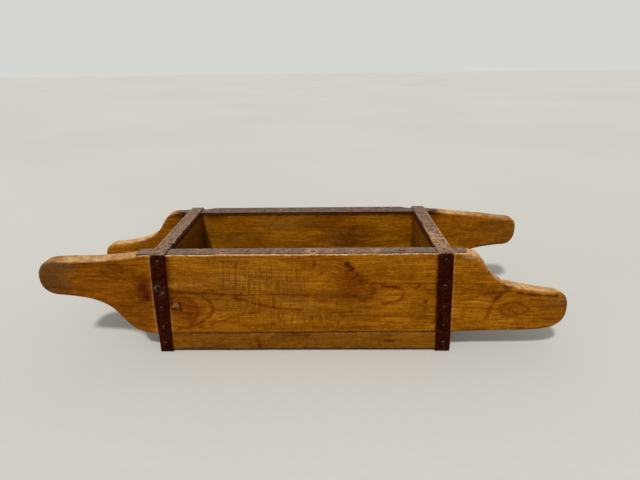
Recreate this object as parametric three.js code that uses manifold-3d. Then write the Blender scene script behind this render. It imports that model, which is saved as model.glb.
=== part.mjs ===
// A hand-made wooden mould box, bound with hoop iron: one open cavity, two long side boards that run on as
// carrying handles, two end boards, a base board, two rim straps, two bands round the ends, and their nails.
// Millimetres. X runs along the box, Y across it, Z up. The bands stand on Z = 0, and the two side boards are
// the same board, one turned half round, so the middle of the box is the middle of the whole object.
import * as THREE from "three";
import { mergeVertices } from "three/addons/utils/BufferGeometryUtils.js";
import Module from "manifold-3d";

const wasm = await Module();
wasm.setup();

// ---- Driving dimensions

const CAVITY_LENGTH = 257;
const CAVITY_WIDTH = 119.6;
const SIDE_THICKNESS = 18;
const SIDE_HEIGHT = 83.6;
const END_THICKNESS = 17;
const BASE_LENGTH = 297;
const BASE_THICKNESS = 19.5;
const BASE_INSET = 0.2; // the base is this much narrower than the box, on each side

const GAP = 0.1; // between flat faces that rest on each other
const CUT_GAP = 0.3; // round a nail in its hole, and under its head

const IRON_THICKNESS = 1.2;
const STRAP_WIDTH = 14.8; // of rim straps and bands alike
const RIM_SET_BACK = 3; // bare wood in front of a rim strap
const RIM_HALF_LENGTH = 158.5;
const RIM_TAPER = 16; // length of a rim strap's pointed end
const BAND_TOP_X = 136.6; // a band's centre line at its top
const BAND_LEAN = 3.9; // its foot stands this much further out
const BAND_BEND = 2; // outer radius of its corners
const BAND_JOINT = 2; // opening between its two ends, under the base
const BAND_SLACK = 0.4; // the base doesn't quite touch the bands under it

const SHANK_RADIUS = 1;
const HEAD_RADIUS = 2.7;
const HEAD_HEIGHT = 1.1;
const POINT_LENGTH = 3;
const LONG_NAIL = 32; // through a side board into an end board
const SHORT_NAIL = 24; // down into the rim
const LEG_NAIL_HEIGHTS = [99.3, 72, 49.5, 28.5, 9.8];
const TOP_NAIL_OFFSETS = [-48, 8, 54]; // along a band's top
const TOP_NAIL_INSET = 3.6; // from its centre line towards the cavity, clear of the leg nails
const RIM_NAIL_COUNT = 10; // between the bands
const RIM_NAIL_PITCH = 21.5;
const RIM_END_NAIL_X = 152;
const NAIL_SIDES = 8;

// The handles' outlines on the front board: the left one goes on from its top edge, the right one from its foot.
const HANDLE_HIGH_REACH = 256.6;
const HANDLE_LOW_REACH = 260;
const HANDLE_HIGH_TOP = 100.3;
const HANDLE_LOW_TOP = 65.5;
const SHOULDER_X = 160; // end of the straight top edge, on the low handle's side
const FOOT_X = 150; // start of the high handle's sweep

// ---- Worked out from them

const BASE_BOTTOM = IRON_THICKNESS + BAND_SLACK;
const BASE_TOP = BASE_BOTTOM + BASE_THICKNESS;
const SIDE_BOTTOM = BASE_TOP + GAP;
const SIDE_TOP = SIDE_BOTTOM + SIDE_HEIGHT;
const RIM_STRAP_BOTTOM = SIDE_TOP + GAP;
const RIM_STRAP_TOP = RIM_STRAP_BOTTOM + IRON_THICKNESS;
const HEIGHT = RIM_STRAP_TOP + GAP + IRON_THICKNESS; // top of the bands
const SIDE_INNER_Y = CAVITY_WIDTH / 2;
const SIDE_OUTER_Y = SIDE_INNER_Y + SIDE_THICKNESS;
const BAND_OUTER_Y = SIDE_OUTER_Y + GAP + IRON_THICKNESS;
const RIM_STRAP_Y = SIDE_OUTER_Y - RIM_SET_BACK - STRAP_WIDTH / 2;

const X_AXIS = new THREE.Vector3(1, 0, 0);
const Y_AXIS = new THREE.Vector3(0, 1, 0);
const Z_AXIS = new THREE.Vector3(0, 0, 1);
const FRONT = Y_AXIS.clone().negate();
const BACK = Y_AXIS;
const UP = Z_AXIS;

// ---- Solids, and the cuts that the nails make in them

function solidOf(geometry) {
  const bare = geometry.clone();
  bare.deleteAttribute("normal");
  bare.deleteAttribute("uv");
  const merged = mergeVertices(bare, 1e-4);
  const vertProperties = new Float32Array(merged.attributes.position.array);
  const triVerts = new Uint32Array(merged.index.array);
  return new wasm.Manifold(new wasm.Mesh({ numProp: 3, vertProperties, triVerts }));
}

function geometryOf(solid) {
  const { vertProperties, triVerts } = solid.getMesh();
  const geometry = new THREE.BufferGeometry();
  geometry.setAttribute("position", new THREE.BufferAttribute(vertProperties, 3));
  geometry.setIndex(new THREE.BufferAttribute(triVerts, 1));
  const faceted = geometry.toNonIndexed();
  faceted.computeVertexNormals();
  return faceted;
}

const withNailHoles = (geometry) => geometryOf(solidOf(geometry).subtract(nailHoles));

// A flat shape drawn in two axes of the part, and pushed out along the third.
function extrude(shape, depth, right, up, curveSegments = 8) {
  const out = right.clone().cross(up);
  const geometry = new THREE.ExtrudeGeometry(shape, { depth, curveSegments, bevelEnabled: false });
  return geometry.applyMatrix4(new THREE.Matrix4().makeBasis(right, up, out));
}

const plank = (length, width, height) => new THREE.BoxGeometry(length, width, height);

// ---- Wood

// The front board, seen from the front: X to the right, Z up.
function sideBoardOutline() {
  const outline = new THREE.Shape();
  outline.moveTo(-FOOT_X, SIDE_BOTTOM);
  outline.lineTo(FOOT_X, SIDE_BOTTOM);
  outline.lineTo(231, SIDE_BOTTOM + 1.4);
  lowHandle(outline);
  outline.lineTo(-148, SIDE_TOP);
  highHandle(outline);
  return outline;
}

// The low handle: round its end, back along the grip, and up in an S to the shoulder.
function lowHandle(outline) {
  outline.bezierCurveTo(251, SIDE_BOTTOM + 2, HANDLE_LOW_REACH, 31, HANDLE_LOW_REACH, 46);
  outline.bezierCurveTo(HANDLE_LOW_REACH, 58, 257, HANDLE_LOW_TOP, 247, HANDLE_LOW_TOP);
  outline.bezierCurveTo(224, HANDLE_LOW_TOP + 0.8, 204, 69, 193, 74.5);
  outline.bezierCurveTo(181, 82, 179, 90, 174.5, 96);
  outline.bezierCurveTo(171, 101.5, 167, SIDE_TOP, SHOULDER_X, SIDE_TOP);
}

// The high handle: out along its top, round its end, back under the grip, and down in an S to the foot.
function highHandle(outline) {
  outline.bezierCurveTo(-170, SIDE_TOP - 1, -190, HANDLE_HIGH_TOP, -212, HANDLE_HIGH_TOP);
  outline.lineTo(-238, HANDLE_HIGH_TOP);
  outline.bezierCurveTo(-248, 100, -HANDLE_HIGH_REACH, 93, -HANDLE_HIGH_REACH, 82);
  outline.bezierCurveTo(-HANDLE_HIGH_REACH, 71, -250, 64.2, -238, 63.9);
  outline.bezierCurveTo(-220, 63.4, -204, 61, -192, 52.6);
  outline.bezierCurveTo(-176, 40.6, -177, SIDE_BOTTOM + 2, -FOOT_X, SIDE_BOTTOM);
}

function sideBoard() {
  return extrude(sideBoardOutline(), SIDE_THICKNESS, X_AXIS, Z_AXIS).translate(0, -SIDE_INNER_Y, 0);
}

function endBoard(side) {
  const height = RIM_STRAP_TOP - SIDE_BOTTOM; // level with the rim straps, so that the band lies flat
  const board = plank(END_THICKNESS, CAVITY_WIDTH - 2 * GAP, height);
  return board.translate((side * (CAVITY_LENGTH + END_THICKNESS)) / 2, 0, SIDE_BOTTOM + height / 2);
}

function baseBoard() {
  const board = plank(BASE_LENGTH, 2 * (SIDE_OUTER_Y - BASE_INSET), BASE_THICKNESS);
  return board.translate(0, 0, BASE_BOTTOM + BASE_THICKNESS / 2);
}

// ---- Hoop iron

// Points at one end of a rim strap, in its own plane, from its near edge to its far edge, for the +X end.
const rimEnds = {
  square: () => [
    [RIM_HALF_LENGTH, -STRAP_WIDTH / 2],
    [RIM_HALF_LENGTH, STRAP_WIDTH / 2],
  ],
  round: () => {
    const radius = STRAP_WIDTH / 2;
    const turns = [-3, -2, -1, 0, 1, 2, 3].map((step) => (step * Math.PI) / 6);
    return turns.map((a) => [RIM_HALF_LENGTH - radius + radius * Math.cos(a), radius * Math.sin(a)]);
  },
  tapered: () => [
    [RIM_HALF_LENGTH - RIM_TAPER, -STRAP_WIDTH / 2],
    [RIM_HALF_LENGTH, -STRAP_WIDTH / 5],
    [RIM_HALF_LENGTH, STRAP_WIDTH / 5],
    [RIM_HALF_LENGTH - RIM_TAPER, STRAP_WIDTH / 2],
  ],
};

function rimStrap(y, leftEnd, rightEnd) {
  const right = rimEnds[rightEnd]();
  const left = rimEnds[leftEnd]().map(([x, across]) => [-x, -across]);
  const outline = new THREE.Shape([...right, ...left].map(([x, across]) => new THREE.Vector2(x, across)));
  return extrude(outline, IRON_THICKNESS, X_AXIS, Y_AXIS).translate(0, y, RIM_STRAP_BOTTOM);
}

// A band's loop seen along X, set in by inset: from one side of its joint, round the box, to the other side.
function bandLoop(inset) {
  const radius = BAND_BEND - inset;
  const y = BAND_OUTER_Y - BAND_BEND;
  const high = HEIGHT - BAND_BEND;
  const corners = [
    [-y, BAND_BEND, 1.5 * Math.PI],
    [-y, high, Math.PI],
    [y, high, 0.5 * Math.PI],
    [y, BAND_BEND, 0],
  ];
  const bends = corners.flatMap(([cy, cz, start]) =>
    [0, 1, 2, 3].map((step) => {
      const angle = start - (step * Math.PI) / 6;
      return new THREE.Vector2(cy + radius * Math.cos(angle), cz + radius * Math.sin(angle));
    }),
  );
  const half = BAND_JOINT / 2;
  return [new THREE.Vector2(-half, inset), ...bends, new THREE.Vector2(half, inset)];
}

const bandCentreX = (side, z) => side * (BAND_TOP_X + BAND_LEAN * (1 - z / HEIGHT));

function band(side) {
  const outline = new THREE.Shape([...bandLoop(0), ...bandLoop(IRON_THICKNESS).reverse()]);
  const upright = extrude(outline, STRAP_WIDTH, Y_AXIS, Z_AXIS).translate(-STRAP_WIDTH / 2, 0, 0);
  const lean = (-side * BAND_LEAN) / HEIGHT; // X gained for each millimetre of height
  const shear = new THREE.Matrix4().set(1, 0, lean, bandCentreX(side, 0), 0, 1, 0, 0, 0, 0, 1, 0, 0, 0, 0, 1);
  return upright.applyMatrix4(shear);
}

// ---- Nails: each has the point under its head, the way its head faces, and its length

function legNails(prefix, side, facing) {
  return LEG_NAIL_HEIGHTS.map((z, i) => ({
    name: `${prefix}_nail_${i + 1}`,
    at: new THREE.Vector3(bandCentreX(side, z), facing.y * (BAND_OUTER_Y + CUT_GAP), z),
    facing,
    length: LONG_NAIL,
  }));
}

function bandTopNails(prefix, side) {
  return TOP_NAIL_OFFSETS.map((y, i) => ({
    name: `${prefix}_top_nail_${i + 1}`,
    at: new THREE.Vector3(side * (BAND_TOP_X - TOP_NAIL_INSET), y, HEIGHT + CUT_GAP),
    facing: UP,
    length: SHORT_NAIL,
  }));
}

function rimNails(prefix, y) {
  const places = [-RIM_END_NAIL_X];
  for (let i = 0; i < RIM_NAIL_COUNT; i++) places.push((i - (RIM_NAIL_COUNT - 1) / 2) * RIM_NAIL_PITCH);
  places.push(RIM_END_NAIL_X);
  return places.map((x, i) => ({
    name: `${prefix}_rim_nail_${i + 1}`,
    at: new THREE.Vector3(x, y, RIM_STRAP_TOP + CUT_GAP),
    facing: UP,
    length: SHORT_NAIL,
  }));
}

const nails = [
  ...legNails("front_left_band", -1, FRONT),
  ...legNails("front_right_band", 1, FRONT),
  ...legNails("back_left_band", -1, BACK),
  ...legNails("back_right_band", 1, BACK),
  ...bandTopNails("left_band", -1),
  ...bandTopNails("right_band", 1),
  ...rimNails("front", -RIM_STRAP_Y),
  ...rimNails("back", RIM_STRAP_Y),
];

// A wrought nail with a pointed round shank and a domed head, its shank along -Y.
function nailGeometry(length) {
  const profile = [
    [0, -length],
    [SHANK_RADIUS, POINT_LENGTH - length],
    [SHANK_RADIUS, 0],
    [HEAD_RADIUS, 0],
    [HEAD_RADIUS * 0.7, HEAD_HEIGHT * 0.7],
    [0, HEAD_HEIGHT],
  ];
  return new THREE.LatheGeometry(profile.map(([r, y]) => new THREE.Vector2(r, y)), NAIL_SIDES);
}

const nailTurn = (nail) => new THREE.Quaternion().setFromUnitVectors(Y_AXIS, nail.facing);

function nailHole(nail) {
  const radius = SHANK_RADIUS + CUT_GAP;
  const depth = nail.length + CUT_GAP;
  const hole = new THREE.CylinderGeometry(radius, radius, depth, NAIL_SIDES).translate(0, -depth / 2, 0);
  return solidOf(hole.applyQuaternion(nailTurn(nail)).translate(...nail.at.toArray()));
}

const nailHoles = nails.map(nailHole).reduce((all, hole) => all.add(hole));

// ---- Materials

const wood = (color, roughness) => new THREE.MeshStandardMaterial({ color, roughness, metalness: 0 });
const iron = (color) => new THREE.MeshStandardMaterial({ color, roughness: 0.75, metalness: 0.6 });

// ---- Assembly

function add(parent, name, geometry, material) {
  const mesh = new THREE.Mesh(geometry, material);
  mesh.name = name;
  parent.add(mesh);
  return mesh;
}

function woodenBox() {
  const box = new THREE.Group();
  add(box, "front_side_board", withNailHoles(sideBoard()), wood(0x8a5a18, 0.55));
  add(box, "back_side_board", withNailHoles(sideBoard().rotateZ(Math.PI)), wood(0x85561a, 0.55));
  add(box, "left_end_board", withNailHoles(endBoard(-1)), wood(0x7a4d16, 0.65));
  add(box, "right_end_board", withNailHoles(endBoard(1)), wood(0x744913, 0.65));
  add(box, "base_board", withNailHoles(baseBoard()), wood(0x7d5a24, 0.65));
  return box;
}

function ironwork() {
  const straps = new THREE.Group();
  add(straps, "front_rim_strap", withNailHoles(rimStrap(-RIM_STRAP_Y, "square", "round")), iron(0x6b5a50));
  add(straps, "back_rim_strap", withNailHoles(rimStrap(RIM_STRAP_Y, "tapered", "tapered")), iron(0x675850));
  add(straps, "left_band", withNailHoles(band(-1)), iron(0x4a342c));
  add(straps, "right_band", withNailHoles(band(1)), iron(0x46302a));
  return straps;
}

function nailing() {
  const group = new THREE.Group();
  for (const nail of nails) {
    const mesh = add(group, nail.name, nailGeometry(nail.length), iron(0x3a2a24));
    mesh.position.copy(nail.at);
    mesh.quaternion.copy(nailTurn(nail));
  }
  return group;
}

const mould = new THREE.Group();
mould.add(woodenBox(), ironwork(), nailing());

export default mould;
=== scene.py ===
"""The looks of a hand-made wooden mould box bound with hoop iron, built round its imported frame.

Shapes are worked out in millimetres, in the part's own frame: X along the box, Y across it, Z up. The front
of the box faces -Y. Each piece is made at its own place and turned into metres when its mesh is made.
"""
import itertools
import math
from types import SimpleNamespace

import bmesh
import bpy
import numpy as np
from mathutils import Matrix, Vector
from mathutils.kdtree import KDTree


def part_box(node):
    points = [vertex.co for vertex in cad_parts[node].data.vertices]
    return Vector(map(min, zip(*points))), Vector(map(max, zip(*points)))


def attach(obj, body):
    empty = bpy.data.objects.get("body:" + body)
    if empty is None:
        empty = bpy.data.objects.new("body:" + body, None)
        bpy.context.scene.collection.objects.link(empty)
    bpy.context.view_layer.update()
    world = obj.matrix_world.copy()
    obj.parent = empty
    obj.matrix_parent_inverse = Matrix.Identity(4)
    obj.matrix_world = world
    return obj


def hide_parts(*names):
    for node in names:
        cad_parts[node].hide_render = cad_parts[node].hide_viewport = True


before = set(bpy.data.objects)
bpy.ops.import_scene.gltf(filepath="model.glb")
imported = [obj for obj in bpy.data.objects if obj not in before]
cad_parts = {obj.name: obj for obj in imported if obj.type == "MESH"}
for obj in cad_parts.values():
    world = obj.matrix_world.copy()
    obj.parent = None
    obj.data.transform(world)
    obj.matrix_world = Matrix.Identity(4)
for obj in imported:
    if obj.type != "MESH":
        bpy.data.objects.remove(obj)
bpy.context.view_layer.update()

MM = 0.001
X, Y, Z = 0, 1, 2


def span(node):
    """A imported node's lowest and highest corners, in millimetres."""
    low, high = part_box(node)
    return np.array(low) / MM, np.array(high) / MM


SIDE_LOW, SIDE_HIGH = span("front_side_board")
SIDE_BOTTOM, SIDE_TOP = SIDE_LOW[Z], SIDE_HIGH[Z]
SIDE_OUTER_Y, SIDE_INNER_Y = -SIDE_LOW[Y], -SIDE_HIGH[Y]
HANDLE_HIGH_REACH, HANDLE_LOW_REACH = -SIDE_LOW[X], SIDE_HIGH[X]
BASE_LOW, BASE_HIGH = span("base_board")
STRAP_LOW, STRAP_HIGH = span("front_rim_strap")
STRAP_WIDTH = STRAP_HIGH[Y] - STRAP_LOW[Y]
IRON = STRAP_HIGH[Z] - STRAP_LOW[Z]
BAND_LOW, BAND_HIGH = span("right_band")
BAND_MIDDLE = BAND_LOW[X] + STRAP_WIDTH / 2
END_LOW, END_HIGH = span("right_end_board")
CAVITY_HALF = END_LOW[X]
END_THICKNESS = END_HIGH[X] - CAVITY_HALF


# ---- Numbers over many points


def smooth(low, high, value):
    """0 where value is at low, 1 where it is at high, and an even S between. low may be the larger."""
    t = np.clip((value - low) / (high - low), 0, 1)
    return t * t * (3 - 2 * t)


def near(value, centre, spread):
    """1 where value is at centre, fading away from it over about the square root of spread."""
    return np.exp(-((value - centre) ** 2) / spread)


def hashed(cells, seed):
    """An even random number from -1 to 1 for each whole-numbered cell, by mixing its bits."""
    n = cells[:, X] * 73856093 ^ cells[:, Y] * 19349663 ^ cells[:, Z] * 83492791
    n ^= seed * 2654435761 + 97
    n = (n ^ (n >> 13)) * 1274126177
    n = (n ^ (n >> 16)) & 0x7FFFFFFF
    return n / 0x3FFFFFFF - 1


def noise(points, size, seed, octaves=2):
    """Smooth noise from -1 to 1 whose features are about size wide. size may differ by axis."""
    total = np.zeros(len(points))
    whole = 0.0
    for octave in range(octaves):
        scaled = points * 2**octave / np.array(size, float)
        cells = np.floor(scaled).astype(np.int64)
        f = scaled - cells
        f = f * f * (3 - 2 * f)
        share = 0.5**octave
        whole += share
        for corner in itertools.product((0, 1), repeat=3):
            weight = np.prod(np.where(corner, f, 1 - f), axis=1)
            total += share * weight * hashed(cells + np.array(corner), seed + octave)
    return total / whole


def spots(points, marks):
    """The sum of soft round marks, each (*middle, radius, strength). A middle is (x, z) or (x, y, z)."""
    total = np.zeros(len(points))
    for *middle, radius, strength in marks:
        offset = (points if len(middle) == 3 else points[:, [X, Z]]) - middle
        total += strength * np.exp(-(offset**2).sum(axis=1) / radius**2)
    return total


def swells(points, marks):
    """The sum of soft oval marks on the X, Z plane, each (x, z, half length, half height, strength)."""
    total = np.zeros(len(points))
    for x, z, length, height, strength in marks:
        away = ((points[:, X] - x) / length) ** 2 + ((points[:, Z] - z) / height) ** 2
        total += strength * np.exp(-away)
    return total


def circles(points, marks):
    """The sum of soft rings on the X, Z plane, each (x, z, radius, strength)."""
    total = np.zeros(len(points))
    for x, z, radius, strength in marks:
        total += strength * near(np.hypot(points[:, X] - x, points[:, Z] - z), radius, 0.72)
    return total


def strokes(points, marks):
    """The sum of soft marks drawn through points on the X, Z plane, each (width, strength, its points)."""
    total = np.zeros(len(points))
    flat = points[:, [X, Z]]
    for width, strength, path in marks:
        nearest = np.full(len(points), np.inf)
        for start, end in itertools.pairwise(np.array(path, float)):
            run = end - start
            t = np.clip((flat - start) @ run / (run @ run), 0, 1)
            nearest = np.minimum(nearest, ((flat - start - t[:, None] * run) ** 2).sum(axis=1))
        total += strength * np.exp(-nearest / width**2)
    return total


# ---- Meshes


def add_object(name, data):
    obj = bpy.data.objects.new(name, data)
    bpy.context.scene.collection.objects.link(obj)
    return obj


def add_mesh(name, points, faces):
    """A new object of points in millimetres, smooth shaded, with its faces turned out."""
    mesh = bpy.data.meshes.new(name)
    mesh.from_pydata((np.asarray(points) * MM).tolist(), [], faces)
    edit = bmesh.new()
    edit.from_mesh(mesh)
    bmesh.ops.recalc_face_normals(edit, faces=edit.faces)
    edit.to_mesh(mesh)
    edit.free()
    mesh.shade_smooth()
    return add_object(name, mesh)


def remesh(obj, voxel):
    """Gives obj an even mesh with faces about one voxel across."""
    modifier = obj.modifiers.new("even", "REMESH")
    modifier.mode = "VOXEL"
    modifier.voxel_size = voxel * MM
    modifier.use_smooth_shade = True
    evaluated = obj.evaluated_get(bpy.context.evaluated_depsgraph_get())
    even = bpy.data.meshes.new_from_object(evaluated)
    obj.modifiers.clear()
    rough, obj.data = obj.data, even
    bpy.data.meshes.remove(rough)
    even.name = obj.name
    even.materials.clear()
    even.shade_smooth()


def read_vectors(items, name):
    numbers = np.empty(len(items) * 3, np.float32)
    items.foreach_get(name, numbers)
    return numbers.reshape(-1, 3).astype(float)


def get_points(obj):
    return read_vectors(obj.data.vertices, "co") / MM


def get_normals(obj):
    return read_vectors(obj.data.vertex_normals, "vector")


def set_points(obj, points):
    obj.data.vertices.foreach_set("co", (points * MM).astype(np.float32).ravel())
    obj.data.update()


def set_layer(obj, name, *channels):
    """Keeps three numbers for each point, for the material to read."""
    layer = obj.data.attributes.new(name, "FLOAT_VECTOR", "POINT")
    layer.data.foreach_set("vector", np.stack(channels, axis=1).astype(np.float32).ravel())


def set_paint(obj, name, *channels):
    """Keeps three amounts from 0 to 1 for each point."""
    set_layer(obj, name, *(np.clip(channel, 0, 1) for channel in channels))


def finish_piece(obj, material, node):
    obj.data.materials.append(material)
    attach(obj, "root")
    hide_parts(node)


# ---- Outlines of the boards


class Outline:
    """A closed outline drawn anticlockwise with lines and cubic curves, as points about one step apart."""

    STEP = 1.2

    def __init__(self, *start):
        self.points = [np.array(start, float)]

    def line(self, *end):
        start, end = self.points[-1], np.array(end, float)
        count = max(1, round(np.linalg.norm(end - start) / self.STEP))
        self.points += [start + (end - start) * i / count for i in range(1, count + 1)]

    def curve(self, x1, z1, x2, z2, x3, z3):
        start = self.points[-1]
        first, second, end = np.array([x1, z1]), np.array([x2, z2]), np.array([x3, z3])
        count = max(4, round(1.1 * np.linalg.norm(end - start) / self.STEP))
        for i in range(1, count + 1):
            t = i / count
            s = 1 - t
            self.points.append(s**3 * start + 3 * s * s * t * first + 3 * s * t * t * second + t**3 * end)

    def closed(self):
        return np.array(self.points[:-1])


FOOT_X = 150
SHOULDER_X = 160
GRIP_TOP = 65.5
HIGH_TOP = 100.3


def side_outline(droop, short, square):
    """A side board seen from outside, in millimetres. Its high handle is worn down by droop, towards an end
    that is more square by square. Its low handle is shorter by short, and the high one by some of that."""
    right, left = HANDLE_LOW_REACH - short, HANDLE_HIGH_REACH - 0.4 * short
    tip = 82 - 0.4 * droop
    path = Outline(-FOOT_X, SIDE_BOTTOM)
    path.line(FOOT_X, SIDE_BOTTOM)
    path.line(231, SIDE_BOTTOM + 1.4)
    path.curve(right - 9, SIDE_BOTTOM + 2, right, 31, right, 46)
    path.curve(right, 57.5, right - 4, GRIP_TOP - 0.8, right - 15, GRIP_TOP - 0.1)
    path.curve(224, GRIP_TOP + 1.2, 205, 69.8, 193.5, 75.2)
    path.curve(181, 82, 179, 90, 174.5, 96)
    path.curve(171, 101.5, 167, SIDE_TOP, SHOULDER_X, SIDE_TOP)
    path.line(-148, SIDE_TOP)
    path.curve(-170, SIDE_TOP - 1, -190, HIGH_TOP, -212, HIGH_TOP - 0.1 * droop)
    path.line(-238, HIGH_TOP - droop)
    corner = 100 - 1.3 * droop + 0.5 * square
    path.curve(-248 - square, corner, -left, 93 - droop + square, -left, tip)
    path.curve(-left, tip - 11, -250, 64.2 - 0.8 * droop, -238, 63.9 - 0.6 * droop)
    path.curve(-220, 63.4 - 0.8 * droop, -204, 61 - droop, -192, 52.6 - 0.2 * droop)
    path.curve(-176, 40.6, -177, SIDE_BOTTOM + 2, -FOOT_X, SIDE_BOTTOM)
    return path.closed()


def box_outline(low, high):
    path = Outline(low[0], low[1])
    path.line(high[0], low[1])
    path.line(high[0], high[1])
    path.line(low[0], high[1])
    path.line(low[0], low[1])
    return path.closed()


# ---- Boards

SIDE_VOXEL, END_VOXEL, BASE_VOXEL = 1.12, 1.3, 1.7
# Where along its grain each board's wood is taken from, so that no two look alike.
BACK_SHIFT, END_SHIFT, BASE_SHIFT = 700, 1300, 2600


def inside_outline(flat, outline):
    """How far each point lies inside an outline, and the way in from the outline's nearest point."""
    ahead = np.roll(outline, -1, axis=0) - np.roll(outline, 1, axis=0)
    inward = np.stack([-ahead[:, 1], ahead[:, 0]], axis=1)
    inward /= np.linalg.norm(inward, axis=1, keepdims=True)
    tree = KDTree(len(outline))
    for i, (u, v) in enumerate(outline):
        tree.insert((u, v, 0), i)
    tree.balance()
    nearest = np.array([tree.find((u, v, 0))[1] for u, v in flat])
    depth = ((flat - outline[nearest]) * inward[nearest]).sum(axis=1)
    return depth, inward[nearest]


def round_over(points, depth, inward, low, high, radius):
    """Rounds the edges of a plank. points are (u, v, w), with its faces at w = low and w = high."""
    side = np.where(points[:, 2] * 2 > low + high, -1.0, 1.0)
    under = np.minimum(points[:, 2] - low, high - points[:, 2])
    a, b = radius - depth, radius - under
    edge = (a > 0) & (b > 0)
    scale = np.where(edge, radius / np.maximum(np.hypot(a, b), 1e-6), 1.0)
    moved = points.copy()
    moved[:, :2] += inward * np.where(edge, a - a * scale, 0)[:, None]
    moved[:, 2] += side * np.where(edge, b - b * scale, 0)
    return moved


def plank(name, outline, low, high, axes, radius, voxel):
    """A plank of that outline with rounded edges. axes are the part's axes along its u, v and w.

    Returns the object, its points, and how deep each point lay inside the outline before rounding.
    """
    count = len(outline)
    points = np.zeros((2 * count, 3))
    points[:count, :2] = points[count:, :2] = outline
    points[:count, 2], points[count:, 2] = low, high
    faces = [list(range(count)), list(range(2 * count - 1, count - 1, -1))]
    faces += [[i, (i + 1) % count, count + (i + 1) % count, count + i] for i in range(count)]
    order = np.argsort(axes)
    obj = add_mesh(name, points[:, order], faces)
    remesh(obj, voxel)
    own = get_points(obj)[:, list(axes)]
    depth, inward = inside_outline(own[:, :2], outline)
    own = round_over(own, depth, inward, low, high, radius(own) if callable(radius) else radius)
    placed = own[:, order]
    set_points(obj, placed)
    return obj, placed, depth


def weather(obj, points, seed, along, amount=1.0):
    """Moves a board's surface in and out: a slow wave, ridges of grain, and small dents."""
    ridge_size = np.full(3, 2.2)
    ridge_size[along] = 38
    move = 0.22 * noise(points, 45, seed) + 0.07 * noise(points, ridge_size, seed + 5)
    move -= 0.5 * smooth(0.55, 0.95, noise(points, 9, seed + 9))
    return points + get_normals(obj) * (amount * move)[:, None]


# The front board's marks, in X and Z on its outer face: (x, z, radius, strength).
FRONT_KNOTS = [
    (42.6, 95, 1.8, 1.1), (46, 94, 1.7, 1), (49.4, 91.6, 1.6, 0.9), (46.6, 89.6, 1.9, 0.9),
    (44.4, 98, 1.6, 0.8), (41, 97, 1.2, 0.4), (-154, 73.5, 7, 0.95), (-153, 61.5, 5.5, 0.85),
    (197, 73, 2.6, 0.9), (-120, 37, 4, 0.2), (-109, 52, 3, 0.25),
]
KNOT_RINGS = [(44, 97, 1.3, 0.7), (46.6, 91, 2.3, 0.9)]
FRONT_HOLES = [
    (19.3, 86.2, 1.5, 1.2), (22, 86.8, 1, 0.5), (18.2, 106.4, 1.5, 1.3), (23.3, 106.4, 1.4, 1.4),
    (121, 83.2, 1.7, 1), (120.9, 55.7, 1.8, 1.5), (121.3, 47.2, 1.8, 0.7), (-36, 103, 1.2, 0.8),
    (-57, 91, 1.3, 0.8), (-35, 96, 1.2, 0.7), (-49, 79, 1.4, 0.7), (-28.1, 49.8, 1.7, 0.7),
    (-29.7, 30.9, 1.7, 1), (-32.5, 31.4, 1.2, 0.5), (57, 57, 1.4, 0.4), (47.5, 22.7, 1.6, 0.9),
    (179, 86, 1.7, 0.9), (165.5, 93.5, 1.5, 0.8), (-190, 88, 1.5, 0.35), (-226, 77, 1.6, 0.3),
    (-160, 47, 1.5, 0.5), (-30, 88, 1.3, 0.7), (-34, 79.5, 1.2, 0.6), (-60, 64.2, 1.7, 0.7),
    (-52, 64.8, 1.5, 0.6), (-50, 98, 1.1, 0.5), (-88, 99, 1.1, 0.5), (53.3, 84.7, 2, 0.9),
    (51, 80.5, 1.7, 0.7), (56.5, 78, 1.6, 0.7), (247, 63.5, 1.6, 0.9), (105.9, 83.2, 2.2, 0.45),
]
FRONT_STAINS = [
    (52, 72, 18, 1), (46, 88, 10, 0.5), (-115, 46, 15, 0.85), (-154, 74, 10, 0.9), (257, 52, 7, 0.4),
    (-153, 61.5, 7, 0.8), (-160, 40, 12, 0.3), (105.9, 83.2, 3.6, 0.5), (97, 83.2, 2.4, 0.4),
    (106.1, 91.6, 2.6, 0.3), (187, 66, 6, 0.3), (170, 30, 8, 0.15), (83, 50, 20, 0.15),
    (-246, 84, 15, 0.4), (-232, 72, 10, 0.25), (-200, 76, 30, 0.12), (-180, 60, 26, 0.15),
    (215, 25.5, 5, 1), (197, 69.5, 3.6, 0.9), (176, 90, 4, 0.6), (-131, 60, 5, 0.35),
    (-101, 46, 7, 0.3), (-118, 66, 8, 0.35), (-118, 90, 11, 0.35), (178, 24, 5, 0.6), (-10, 100, 14, 0.12),
]
FRONT_HAZE = [
    (-60, 82, 34, 0.5), (-20, 80, 26, 0.4), (-120, 76, 16, 0.4), (-8, 46, 30, 0.3),
    (243, 58, 12, 0.5), (60, 35, 40, 0.15), (100, 98, 22, 0.25), (-90, 28, 30, 0.2),
]
# Fine upright saw cuts, and wood gone grey.
FRONT_CUTS = [
    (-70, 84, 16, 0.7), (-48, 82, 16, 0.8), (-26, 78, 16, 0.7), (-6, 84, 14, 0.5),
    (-50, 52, 14, 0.6), (-24, 44, 16, 0.9), (2, 38, 18, 0.9), (30, 34, 14, 0.5),
    (-108, 78, 10, 0.3), (-60, 30, 12, 0.3),
]
FRONT_GREY = [
    (-240, 86, 15, 1), (-248, 76, 9, 0.8), (-232, 74, 9, 0.7), (-228, 94, 8, 0.8),
    (-246, 95, 11, 1.1), (-233, 98, 8, 0.8), (197, 72, 4, 1.3), (248, 58, 8, 0.6),
]
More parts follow.
